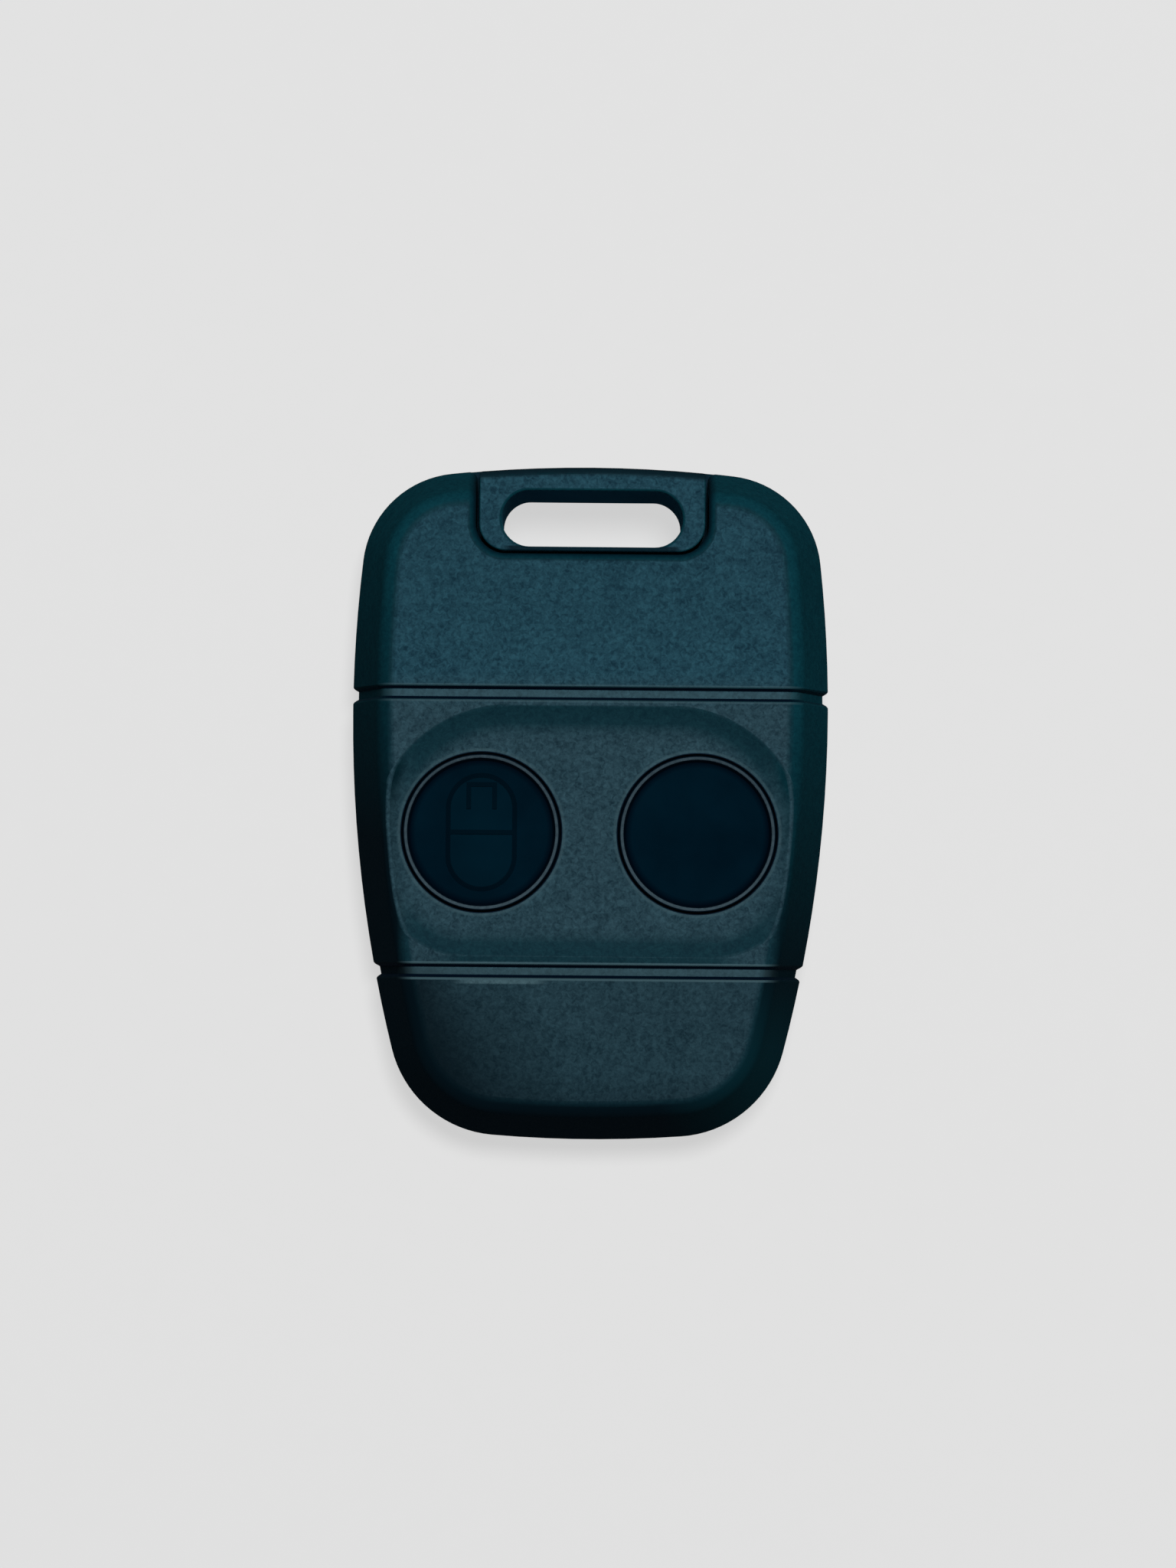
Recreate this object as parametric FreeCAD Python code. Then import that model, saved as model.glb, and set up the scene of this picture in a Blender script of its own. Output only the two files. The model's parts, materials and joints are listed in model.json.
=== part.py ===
import FreeCAD, Part
import math
import os

# Two-button key fob, closed. Millimetres. X is the width, Y the length with the key-ring end at +Y,
# Z the thickness. The rear face lies on z = 0 and the origin is the middle of that face.

V = FreeCAD.Vector

# Casing, overall
LENGTH = 59.0
WIDTH = 41.7
THICKNESS = 12.4
PARTING_Z = 5.8            # height of the joint between the two casings
PARTING_GAP = 0.03         # air left between the two rims
PARTING_BREAK = 0.15       # small bevel along both rims

# Casing outline, eight tangent arcs
WIDEST_Y = 7.8             # where the casing is widest
SIDE_R = 119.0
TOP_R = 113.5
BOTTOM_R = 108.0
TOP_CORNER_R = 8.7
BOTTOM_CORNER_R = 9.9

# Casing walls
FRONT_DRAFT = 2.75         # how far the front casing's sides lean in
REAR_DRAFT = 1.3
FRONT_EDGE_R = 1.75
REAR_EDGE_R = 1.6
FACE_CROWN_R = 450.0       # lengthwise crown of the front face
RIM_WALL = 2.6             # rim width at the joint
INNER_DRAFT = 0.6
REAR_FLOOR = 1.4
FRONT_SKIN = 2.0           # front wall, ceiling to the crown of the face
END_WALL = 0.25            # from the key-ring slot to the end of the inner outline
INNER_CORNER_R = 6.0

# Two decorative grooves round both casings
GROOVE_YS = (9.17, -14.87)
GROOVE_TOP_W = 1.3
GROOVE_FLOOR_W = 0.66
GROOVE_DEPTH = 0.45
GROOVE_LIP = 0.1           # bevel along both lips

# Shallow dish round the buttons
DISH_Y = -2.9
DISH_HALF_H = 11.1
DISH_SIDE = 2.35           # dish lip, carried up to the face, to the widest side
DISH_UPPER_R = 11.5        # plan radius of the two upper corners
DISH_LOWER_R = 8.0
DISH_DEPTH = 0.7
DISH_RIM_R = 6.6
DISH_LIP_R = 0.6

# Key-ring lug and slot
LUG_HALF_W = 9.83
LUG_CORNER_R = 2.35
LUG_TOP_Z = 10.7
LUG_DRAFT = 0.6
LUG_END_R = 0.6            # rounding of the lug's top at the key-ring end
LUG_SILL = 0.38            # lug below the slot
LUG_CLEARANCE = 0.3
NOTCH_EDGE_R = 0.7
SLOT_LENGTH = 15.8
SLOT_WIDTH = 4.9
SLOT_BAR = 2.55            # from the casing's end to the slot
SLOT_DRAFT = 0.05          # how much the slot narrows all round towards the rear face
SLOT_RIM_R = 0.22          # rounding of the slot in the lug's top
SLOT_EDGE_R = 0.5          # rounding of the slot in the rear face
SHOULDER_WALL = 1.6        # wall round the cored pockets beside the lug

# Buttons
BUTTON_EDGE = 4.71         # button to the casing's widest side
BUTTON_MIDDLE = 2.56       # button to the casing's middle
BUTTON_Y = -2.88
BUTTON_CLEARANCE = 0.14
BUTTON_RIM_TOP = 0.42      # crest above the dish floor
BUTTON_RIM_W = 0.36
BUTTON_RIM_SLOPE = 0.25
BUTTON_FACE_DROP = 0.4     # crest down to the edge of the face
BUTTON_DISH = 0.15
BUTTON_FLANGE_OVER = 0.55
BUTTON_FLANGE_T = 0.4
BUTTON_FLANGE_GAP = 0.05
BUTTON_WALL = 1.59         # round the core
BUTTON_BOSS_R = 2.0
BUTTON_CORE_DEPTH = 0.9
BUTTON_TRAVEL = 0.35       # room under the flange, less FIT
MOULD_EDGE_R = 0.12        # least rounding on a moulded edge

# Pictogram on the left button, a plain padlock
SIGN_W = 6.1
SIGN_H = 10.2
SIGN_LINE = 0.36
SIGN_HEIGHT = 0.13
SIGN_SHACKLE_W = 2.6
SIGN_SHACKLE_H = 2.3
SIGN_SHACKLE_Y = 2.0       # foot of the shackle above the cross bar

# Rubber keypad under the buttons
WEB_RIM_T = 1.4
WEB_SIDE = 4.45            # mat to the widest side
WEB_MARGIN = 1.61          # mat beyond the buttons
WEB_CORNER_R = 3.0
WEB_LIP = 1.19             # mat under a button's edge
WEB_FOOT_R = 0.9
SKIRT_REACH = 1.2          # from the mat in to the pad
PAD_T = 0.6
PAD_NIB_R = 1.4
SKIRT_T = 0.3

# Circuit board
BOARD_T = 1.0
BOARD_Z = 5.6              # underside
BOARD_CLEARANCE = 0.35     # board edge to the inner walls
UPPER_PEG = (9.35, 7.1)    # in from the widest side, down from the inner end
LOWER_PEG = (10.65, 10.5)  # in from the widest side, up from the casing's end
PEG_R = 0.7
PEG_HEIGHT = 0.9           # above the board
BOSS_R = 1.8
CLAMP_POST_R = 1.6
FIT = 0.1                  # clearance round pegs
REST_GAP = 0.05            # air left above the board and the plungers

# Snap hooks of the front casing and their catches in the rear casing
UPPER_HOOK = 8.8           # down from the inner end
LOWER_HOOK = 11.5          # up from the casing's end
HOOK_W = 4.0
HOOK_T = 1.0
HOOK_BARB = 0.6
HOOK_BITE_Z = 3.8          # top of the barb
HOOK_TIP_Z = 2.5
CATCH_ROOT = 0.5           # how far a catch runs into the wall
CATCH_T = 1.0
HOOK_CLEARANCE = 0.1

# Rubber seal between the casings
SEAL_INSET = 1.35
SEAL_W = 0.7
SEAL_H = 0.8
SEAL_FIT = 0.05

# Coin cell
CELL_Y = -3.0
CELL_R = 10.0
CELL_H = 3.2
CELL_Z = 1.78              # underside
CELL_CAP_R = 8.7
CELL_CAN_T = 0.3
CELL_GASKET_T = 0.3
CELL_CRIMP = 0.35
CELL_STEP = 0.25           # cap above the crimp
NEST_FIT = 0.3
NEST_T = 0.8
NEST_H = 1.6
SEAT_R = 7.6
SEAT_W = 1.4

# Cell contacts
CLIP_T = 0.3
CLIP_W = 5.0
CLIP_FOOT = 2.2
CLIP_GAP = 0.12
LEAF_T = 0.15
LEAF_W = 3.0
LEAF_FOOT = 3.0
LEAF_REACH = 8.0

# Push switches on the board
SWITCH_W = 6.0
SWITCH_H = 2.5             # plunger top above the board
SWITCH_BASE_H = 1.6
SWITCH_PLATE_T = 0.2
SWITCH_FLOOR = 0.35
SWITCH_WELL_R = 2.2
SWITCH_STEM_R = 1.65
SWITCH_GAP = 0.08
SWITCH_FLANGE_T = 0.4
DOME_R = 2.0
DOME_T = 0.08
DOME_RISE = 0.42
TERMINAL_W = 0.7
TERMINAL_T = 0.2
TERMINAL_REACH = 1.1
TERMINAL_PITCH = 4.5

# Aerial track
TRACK_W = 1.1
TRACK_T = 0.1
TRACK_MARGIN = 0.5         # to the hooks' cut-outs
TRACK_END_MARGIN = 1.2     # to the board's crowned end
TRACK_CORNER_R = 2.0
TRACK_GAP = 0.88           # keypad to the track's ends

# Chips: centre, body size, legs a side, leg pitch; "down" is measured from the inner end,
# and so are the upper spots
CONTROLLER = {"x": 0.0, "y": -3.0, "w": 3.9, "l": 8.6, "h": 1.5, "legs": 7, "pitch": 1.2}
MEMORY = {"x": 0.0, "y": -15.6, "w": 3.9, "l": 4.9, "h": 1.5, "legs": 4, "pitch": 1.2}
LEG_W = 0.42
LEG_T = 0.2
LEG_REACH = 1.05
CHIP_STANDOFF = 0.12
TRANSISTOR = {"x": 7.4, "down": 11.6, "w": 1.4, "l": 2.9, "h": 0.95, "pitch": 1.9}
RESONATOR_SPOT = (-4.2, 10.6)
RESONATOR_R = 4.6
RESONATOR_FLANGE_R = 4.9
RESONATOR_H = 2.6
RESONATOR_BASE_T = 0.6
RESONATOR_EDGE_R = 0.4
TANTALUM = {"x": 4.0, "down": 9.0, "w": 2.6, "l": 3.4, "h": 1.8}
UPPER_CERAMICS = ((7.4, 15.8), (3.4, 15.2), (3.4, 13.0))
LOWER_CERAMICS = ((-7.2, -12.8), (-4.0, -21.2), (7.2, -12.8))
SIDE_RESISTORS = ((-1, 8.25, 15.2), (1, 8.65, 13.0))   # side, in from the widest side, down
LOWER_RESISTORS = ((-6.6, -15.6), (6.6, -15.6), (4.0, -21.2), (0.0, -20.4))
CERAMIC_SIZE = (2.0, 1.25, 0.8)
RESISTOR_SIZE = (2.0, 1.25, 0.55)
END_CAP = 0.35             # metal end of a chip part
END_CAP_T = 0.03

# Derived places
HALF_LENGTH = LENGTH / 2
HALF_WIDTH = WIDTH / 2
CEILING_Z = THICKNESS - FRONT_SKIN
DISH_FLOOR_Z = THICKNESS - DISH_DEPTH
SLOT_Y = HALF_LENGTH - SLOT_BAR - SLOT_WIDTH / 2
SLOT_LOW_Y = SLOT_Y - SLOT_WIDTH / 2
LUG_LOW_Y = SLOT_LOW_Y - LUG_SILL
INNER_TOP_Y = SLOT_LOW_Y - END_WALL
DISH_HALF_W = HALF_WIDTH - DISH_SIDE
BUTTON_R = (HALF_WIDTH - BUTTON_EDGE - BUTTON_MIDDLE) / 2
BUTTON_X = BUTTON_MIDDLE + BUTTON_R
BUTTON_CORE_R = BUTTON_R - BUTTON_WALL
WEB_HALF_W = HALF_WIDTH - WEB_SIDE
WEB_HALF_H = BUTTON_R + WEB_MARGIN
WEB_HOLE_R = BUTTON_R - WEB_LIP
PAD_R = WEB_HOLE_R - SKIRT_REACH
PEG_SPOTS = [(side * (HALF_WIDTH - UPPER_PEG[0]), INNER_TOP_Y - UPPER_PEG[1]) for side in (-1, 1)]
PEG_SPOTS += [(side * (HALF_WIDTH - LOWER_PEG[0]), LOWER_PEG[1] - HALF_LENGTH) for side in (-1, 1)]
HOOK_YS = (INNER_TOP_Y - UPPER_HOOK, LOWER_HOOK - HALF_LENGTH)
TRACK_BOTTOM_Y = BUTTON_Y + WEB_HALF_H + TRACK_GAP
BOARD_TOP = BOARD_Z + BOARD_T
BOARD_INSET = RIM_WALL + BOARD_CLEARANCE
PLUNGER_TOP = BOARD_TOP + SWITCH_H
RIM_TOP_Z = PARTING_Z + PARTING_GAP + PARTING_BREAK
BUTTON_BASE_Z = CEILING_Z - BUTTON_FLANGE_GAP - BUTTON_FLANGE_T
WEB_Z = CEILING_Z - WEB_RIM_T
CELL_TOP = CELL_Z + CELL_H
BIG = 2 * LENGTH           # reach of cutting tools
TINY = 0.01                # slack when an edge is picked by its place
UPRIGHT = 0.99             # vertical share of an upright edge's direction


def box(x0, x1, y0, y1, z0, z1):
    return Part.makeBox(x1 - x0, y1 - y0, z1 - z0, V(x0, y0, z0))


def block(x, y, w, l, z0, z1):
    return box(x - w / 2, x + w / 2, y - l / 2, y + l / 2, z0, z1)


def rod(x, y, r, z0, z1):
    return Part.makeCylinder(r, z1 - z0, V(x, y, z0))


def ring(x, y, r_out, r_in, z0, z1):
    return rod(x, y, r_out, z0, z1).cut(rod(x, y, r_in, z0, z1))


def turned(x, y, profile):
    """Solid of revolution about the vertical through (x, y); profile is a list of (radius, height)."""
    points = [V(x + r, y, z) for r, z in profile]
    face = Part.Face(Part.makePolygon(points + points[:1]))
    return face.revolve(V(x, y, 0), V(0, 0, 1), 360)


def prism_x(points, x0, x1):
    """Solid between x0 and x1 over a profile of (y, z) points."""
    wire = Part.makePolygon([V(x0, y, z) for y, z in points + points[:1]])
    return Part.Face(wire).extrude(V(x1 - x0, 0, 0))


def prism_y(points, y0, y1):
    """Solid between y0 and y1 over a profile of (x, z) points."""
    wire = Part.makePolygon([V(x, y0, z) for x, z in points + points[:1]])
    return Part.Face(wire).extrude(V(0, y1 - y0, 0))


def mirrored(shape):
    return shape.mirror(V(0, 0, 0), V(1, 0, 0))


def flipped(p):
    """The point across the middle plane x = 0."""
    return V(-p.x, p.y, p.z)


def rounded(x, y, w, l, r, z0, z1):
    """Upright block with its four vertical edges rounded."""
    solid = block(x, y, w, l, z0, z1)
    return solid.makeFillet(r, edges_near(solid, is_upright))


# Casing outline: side, top and bottom circles joined by tangent corner circles

def corner_centre(c1, r1, c2, r2, r, below):
    """Centre of a circle of radius r that touches two large circles from inside, at the +X side."""
    d1, d2 = r1 - r, r2 - r
    gap = c2 - c1
    along = (d1 * d1 - d2 * d2 + gap.Length ** 2) / (2 * gap.Length)
    off = math.sqrt(d1 * d1 - along * along)
    unit = gap / gap.Length
    normal = V(unit.y, -unit.x, 0)
    spots = [c1 + unit * along + normal * off, c1 + unit * along - normal * off]
    return min(spots, key=lambda p: p.y) if below else max(spots, key=lambda p: p.y)


def outline(inset, z, top_y=HALF_LENGTH, top_corner=TOP_CORNER_R):
    """Closed wire of eight arcs, set in by inset, at height z; top_y is where its upper end lies."""
    side = V(HALF_WIDTH - SIDE_R, WIDEST_Y, 0)
    top = V(0, top_y - TOP_R, 0)
    bottom = V(0, BOTTOM_R - HALF_LENGTH, 0)
    upper = corner_centre(side, SIDE_R, top, TOP_R, top_corner, False)
    lower = corner_centre(side, SIDE_R, bottom, BOTTOM_R, BOTTOM_CORNER_R, True)
    circles = [(lower, BOTTOM_CORNER_R), (side, SIDE_R), (upper, top_corner), (top, TOP_R),
               (flipped(upper), top_corner), (flipped(side), SIDE_R), (flipped(lower), BOTTOM_CORNER_R),
               (bottom, BOTTOM_R)]

    def touch(a, b):
        """Where circle a passes into circle b, on the line through their centres."""
        small, large = sorted((a, b), key=lambda circle: circle[1])
        return large[0] + (small[0] - large[0]).normalize() * (large[1] - inset)

    edges = []
    for i, (centre, radius) in enumerate(circles):
        start = touch(circles[i - 1], circles[i])
        end = touch(circles[i], circles[(i + 1) % len(circles)])
        halfway = centre + ((start - centre) + (end - centre)).normalize() * (radius - inset)
        lift = V(0, 0, z)
        edges.append(Part.Arc(start + lift, halfway + lift, end + lift).toShape())
    return Part.Wire(edges)


def inner_outline(inset, z):
    """The same outline closed off below the key-ring slot."""
    return outline(inset, z, INNER_TOP_Y, INNER_CORNER_R)


def drafted(sections, wire=outline):
    """Solid through outlines, each given as (height, inset)."""
    return Part.makeLoft([wire(inset, z) for z, inset in sections], True, True)


def half_width(y, inset):
    """Half width of the outline beside y."""
    radius = SIDE_R - inset
    return HALF_WIDTH - SIDE_R + math.sqrt(radius ** 2 - (y - WIDEST_Y) ** 2)


def middle(edge):
    return edge.valueAt((edge.FirstParameter + edge.LastParameter) / 2)


def heading(edge):
    return edge.tangentAt((edge.FirstParameter + edge.LastParameter) / 2)


def is_upright(edge):
    return abs(heading(edge).z) > UPRIGHT


def edges_near(shape, test):
    return [e for e in shape.Edges if test(e)]


# Outer forms of the two casings

def front_form():
    """Outer form of the front casing: leaning sides, crowned face, rounded edge."""
    blank = drafted([(PARTING_Z + PARTING_GAP, PARTING_BREAK), (RIM_TOP_Z, 0.0), (THICKNESS, FRONT_DRAFT)])
    crown = Part.makeCylinder(FACE_CROWN_R, WIDTH, V(-WIDTH / 2, 0, THICKNESS - FACE_CROWN_R), V(1, 0, 0))
    form = blank.common(crown)
    face_edges = edges_near(form, lambda e: e.BoundBox.ZMin > RIM_TOP_Z + TINY)
    return form.makeFillet(FRONT_EDGE_R, face_edges)


def rear_form():
    form = drafted([(0.0, REAR_DRAFT), (PARTING_Z - PARTING_BREAK, 0.0), (PARTING_Z, PARTING_BREAK)])
    return form.makeFillet(REAR_EDGE_R, edges_near(form, lambda e: e.BoundBox.ZMax < TINY))


def meet(p, u, q, v):
    """Where the line through p along u meets the line through q along v, in the X-Z plane."""
    d = q - p
    t = (d.x * v.z - d.z * v.x) / (u.x * v.z - u.z * v.x)
    return p + u * t


def section_corners(y, inset):
    """Right-hand corners of the closed casing's section at y, set in: rear edge, joint, front edge."""
    crown_z = THICKNESS - FACE_CROWN_R + math.sqrt(FACE_CROWN_R ** 2 - y ** 2)
    rear = V(half_width(y, REAR_DRAFT), y, 0)
    joint = V(half_width(y, 0.0), y, PARTING_Z)
    front = V(half_width(y, FRONT_DRAFT), y, THICKNESS)
    low_way, high_way = (joint - rear).normalize(), (front - joint).normalize()
    low = joint + V(-low_way.z, 0, low_way.x) * inset
    high = joint + V(-high_way.z, 0, high_way.x) * inset
    across = V(1, 0, 0)
    return [meet(V(0, y, inset), across, low, low_way), meet(low, low_way, high, high_way),
            meet(V(0, y, crown_z - inset), across, high, high_way)]


def rounding(before, corner, after, r):
    """Start, middle and end of the arc of radius r in a corner."""
    back, on = (before - corner).normalize(), (after - corner).normalize()
    half = back.getAngle(on) / 2
    reach = r / math.tan(half)
    centre = corner + (back + on).normalize() * (r / math.sin(half))
    return corner + back * reach, centre + (corner - centre).normalize() * r, corner + on * reach


def section_wire(y, inset):
    """Closed section of both casings at y, set in all round."""
    rear, joint, front = section_corners(y, inset)
    low = rounding(V(0, y, rear.z), rear, joint, REAR_EDGE_R - inset)
    high = rounding(joint, front, V(0, y, front.z), FRONT_EDGE_R - inset)
    far_low = [flipped(p) for p in reversed(low)]
    far_high = [flipped(p) for p in reversed(high)]
    far_joint = flipped(joint)
    curves = [Part.Arc(*low), Part.LineSegment(low[2], joint), Part.LineSegment(joint, high[0]),
              Part.Arc(*high), Part.LineSegment(high[2], far_high[0]), Part.Arc(*far_high),
              Part.LineSegment(far_high[2], far_joint), Part.LineSegment(far_joint, far_low[0]),
              Part.Arc(*far_low), Part.LineSegment(far_low[2], low[0])]
    return Part.Wire([curve.toShape() for curve in curves])


def groove_tool(y, z0, z1):
    """Cutter for one groove between two heights: a slab less a core that follows the casing's section."""
    half_floor = GROOVE_FLOOR_W / 2
    half_top = GROOVE_TOP_W / 2
    half_slab = half_top + 2 * GROOVE_LIP
    side = [(half_floor, GROOVE_DEPTH), (half_top - GROOVE_LIP, GROOVE_LIP), (half_slab, -2 * GROOVE_LIP)]
    steps = [(-dy, inset) for dy, inset in reversed(side)] + side
    core = Part.makeLoft([section_wire(y + dy, inset) for dy, inset in steps], True, True)
    return box(-WIDTH, WIDTH, y - half_slab, y + half_slab, z0, z1).cut(core)


def dish_tool():
    """Rounded block whose lower edge has the dish's rim radius; its underside is the dish floor."""
    reach = DISH_RIM_R - math.sqrt(DISH_RIM_R ** 2 - (DISH_RIM_R - DISH_DEPTH) ** 2)
    w = 2 * (DISH_HALF_W + reach)
    l = 2 * (DISH_HALF_H + reach)
    tool = block(0, DISH_Y, w, l, DISH_FLOOR_Z, DISH_FLOOR_Z + THICKNESS)
    for side, radius in ((-1, DISH_LOWER_R), (1, DISH_UPPER_R)):
        end_y = DISH_Y + side * l / 2
        corners = edges_near(tool, lambda e: is_upright(e) and abs(middle(e).y - end_y) < TINY)
        tool = tool.makeFillet(radius + reach, corners)
    rim = edges_near(tool, lambda e: e.BoundBox.ZMax < DISH_FLOOR_Z + TINY)
    return tool.makeFillet(DISH_RIM_R, rim)


def lug_prism(grow, z0, z1):
    """Upright block over the lug's plan, open at the key-ring end."""
    low_y = LUG_LOW_Y - grow
    solid = box(-LUG_HALF_W - grow, LUG_HALF_W + grow, low_y, low_y + LENGTH, z0, z1)
    corners = edges_near(solid, lambda e: middle(e).y < low_y + TINY and is_upright(e))
    return solid.makeFillet(LUG_CORNER_R + grow, corners)


def shoulder_pockets(z0, z1):
    """Cored pockets beside the lug."""
    field = drafted([(z0, RIM_WALL), (z1, RIM_WALL)])
    low = SLOT_LOW_Y
    keep = box(-BIG, BIG, -BIG, low, z0, z1)
    reach = LUG_HALF_W + LUG_CLEARANCE + SHOULDER_WALL
    return field.cut(keep).cut(box(-reach, reach, low, BIG, z0, z1))


def hook_x(y):
    """Outer face of a hook's shank: its barb clears the rear casing's leaning inner wall."""
    wall = min(half_width(y + dy, RIM_WALL + INNER_DRAFT) for dy in (-HOOK_W / 2, HOOK_W / 2))
    return wall - HOOK_BARB - HOOK_CLEARANCE


def hook(y):
    x = hook_x(y)
    profile = [(x - HOOK_T, CEILING_Z + FIT), (x, CEILING_Z + FIT), (x, HOOK_BITE_Z),
               (x + HOOK_BARB, HOOK_BITE_Z), (x + HOOK_BARB, HOOK_BITE_Z - HOOK_BARB / 2),
               (x, HOOK_TIP_Z), (x - HOOK_T, HOOK_TIP_Z)]
    return prism_y(profile, y - HOOK_W / 2, y + HOOK_W / 2)


def catch(y):
    """Ledge on the rear casing's inner wall that holds a hook's barb."""
    x = hook_x(y) + HOOK_CLEARANCE
    z = HOOK_BITE_Z + HOOK_CLEARANCE
    wall = half_width(y, RIM_WALL) + CATCH_ROOT
    return box(x, wall, y - HOOK_W / 2 - FIT, y + HOOK_W / 2 + FIT, z, z + CATCH_T)


# Casings

def cut_notch(form):
    """Opens the front casing round the lug and rounds the opening's upper edge."""
    reach_x = LUG_HALF_W + LUG_CLEARANCE + TINY
    low_y = LUG_LOW_Y - LUG_CLEARANCE - TINY

    def on_notch(edge):
        at = middle(edge)
        return abs(at.x) < reach_x and at.y > low_y and at.z > RIM_TOP_Z and not is_upright(edge)

    opened = form.cut(lug_prism(LUG_CLEARANCE, 0, BIG))
    return opened.makeFillet(NOTCH_EDGE_R, edges_near(opened, on_notch))


def cut_dish(form):
    """Sinks the dish into the face and softens its lip."""
    lip_z = DISH_FLOOR_Z + DISH_DEPTH / 5

    def on_lip(edge):
        at = middle(edge)
        inside = abs(at.x) < DISH_HALF_W and abs(at.y - DISH_Y) < DISH_HALF_H + DISH_LIP_R
        return inside and at.z > lip_z and edge.Curve.TypeId != "Part::GeomCircle"

    sunk = form.cut(dish_tool())
    return sunk.makeFillet(DISH_LIP_R, edges_near(sunk, on_lip))


def front_casing():
    body = cut_dish(cut_notch(front_form()))
    for y in GROOVE_YS:
        body = body.cut(groove_tool(y, PARTING_Z, 2 * THICKNESS))
    cavity = drafted([(PARTING_Z, RIM_WALL), (CEILING_Z, RIM_WALL + INNER_DRAFT)], inner_outline)
    body = body.cut(cavity)
    body = body.cut(shoulder_pockets(PARTING_Z, CEILING_Z - FRONT_EDGE_R))
    for side in (-1, 1):
        hole = rod(side * BUTTON_X, BUTTON_Y, BUTTON_R + BUTTON_CLEARANCE, CEILING_Z - FIT, THICKNESS)
        body = body.cut(hole)
    for x, y in PEG_SPOTS:
        post = rod(x, y, CLAMP_POST_R, BOARD_TOP + REST_GAP, CEILING_Z + FIT)
        socket = rod(x, y, PEG_R + FIT, BOARD_TOP, BOARD_TOP + PEG_HEIGHT + 2 * FIT)
        body = body.fuse(post).cut(socket)
    for y in HOOK_YS:
        body = body.fuse([hook(y), mirrored(hook(y))])
    return body.removeSplitter()


def lug():
    """Raised part of the rear casing that fills the front casing's notch, without its slot."""
    form = drafted([(PARTING_Z - PARTING_BREAK, 0.0), (PARTING_Z, 0.0), (LUG_TOP_Z, LUG_DRAFT)])
    form = form.makeFillet(LUG_END_R, edges_near(form, lambda e: e.BoundBox.ZMin > LUG_TOP_Z - TINY))
    solid = form.common(lug_prism(0.0, 0, THICKNESS))

    def on_rim(edge):
        inner = middle(edge).y < HALF_LENGTH - LUG_END_R - LUG_DRAFT
        return inner and edge.BoundBox.ZMin > LUG_TOP_Z - TINY

    return solid.makeFillet(MOULD_EDGE_R, edges_near(solid, on_rim))


def stadium_wire(x, y, length, width, z):
    """Closed wire with round ends, long along X."""
    r = width / 2
    reach = (length - width) / 2
    left, right = x - reach, x + reach
    curves = [Part.LineSegment(V(left, y - r, z), V(right, y - r, z)),
              Part.Arc(V(right, y - r, z), V(right + r, y, z), V(right, y + r, z)),
              Part.LineSegment(V(right, y + r, z), V(left, y + r, z)),
              Part.Arc(V(left, y + r, z), V(left - r, y, z), V(left, y - r, z))]
    return Part.Wire([curve.toShape() for curve in curves])


def slot_tool():
    """Cutter for the key-ring slot, narrower towards the rear face."""
    slope = SLOT_DRAFT / LUG_TOP_Z
    wires = []
    for z in (-FIT, LUG_TOP_Z + FIT):
        grow = 2 * slope * (z - LUG_TOP_Z)
        wires.append(stadium_wire(0, SLOT_Y, SLOT_LENGTH + grow, SLOT_WIDTH + grow, z))
    return Part.makeLoft(wires, True, True)


def on_slot_mouth(edge, z):
    """Whether an edge borders the slot at height z."""
    at = middle(edge)
    reach = SLOT_DRAFT + TINY
    within = abs(at.x) < SLOT_LENGTH / 2 + reach and abs(at.y - SLOT_Y) < SLOT_WIDTH / 2 + reach
    return within and abs(edge.BoundBox.ZMin - z) < TINY and abs(edge.BoundBox.ZMax - z) < TINY


def rear_casing():
    body = rear_form()
    for y in GROOVE_YS:
        body = body.cut(groove_tool(y, -THICKNESS, PARTING_Z))
    cavity = drafted([(REAR_FLOOR, RIM_WALL + INNER_DRAFT), (PARTING_Z, RIM_WALL)], inner_outline)
    body = body.cut(cavity)
    body = body.cut(shoulder_pockets(REAR_FLOOR + REAR_EDGE_R, PARTING_Z))
    body = body.cut(seal_ring(SEAL_FIT))
    body = body.fuse(lug()).cut(slot_tool())
    body = body.makeFillet(SLOT_EDGE_R, edges_near(body, lambda e: on_slot_mouth(e, 0.0)))
    body = body.makeFillet(SLOT_RIM_R, edges_near(body, lambda e: on_slot_mouth(e, LUG_TOP_Z)))
    for x, y in PEG_SPOTS:
        body = body.fuse([rod(x, y, BOSS_R, REAR_FLOOR - FIT, BOARD_Z),
                          rod(x, y, PEG_R, REAR_FLOOR, BOARD_TOP + PEG_HEIGHT)])
    for y in HOOK_YS:
        body = body.fuse([catch(y), mirrored(catch(y))])
    body = body.fuse(cell_nest())
    return body.removeSplitter()


def cell_nest():
    """Ribs on the rear floor that centre and carry the coin cell, open where the clip passes."""
    inner = CELL_R + NEST_FIT
    wall = ring(0, CELL_Y, inner + NEST_T, inner, REAR_FLOOR - FIT, REAR_FLOOR + NEST_H)
    seat = ring(0, CELL_Y, SEAT_R, SEAT_R - SEAT_W, REAR_FLOOR - FIT, CELL_Z)
    way = block(0, CELL_Y, 2 * (inner + 2 * NEST_T), CLIP_W + 2 * NEST_FIT, REAR_FLOOR, BOARD_Z)
    return wall.fuse(seat).cut(way)


def seal_ring(grow=0.0):
    """Rubber seal, or with grow its groove, in the rear casing's rim."""
    z0, z1 = PARTING_Z - SEAL_H, PARTING_Z
    outer = drafted([(z0, SEAL_INSET - grow), (z1, SEAL_INSET - grow)], inner_outline)
    inner = drafted([(z0, SEAL_INSET + SEAL_W + grow), (z1, SEAL_INSET + SEAL_W + grow)], inner_outline)
    return outer.cut(inner)


# Buttons and keypad

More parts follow.
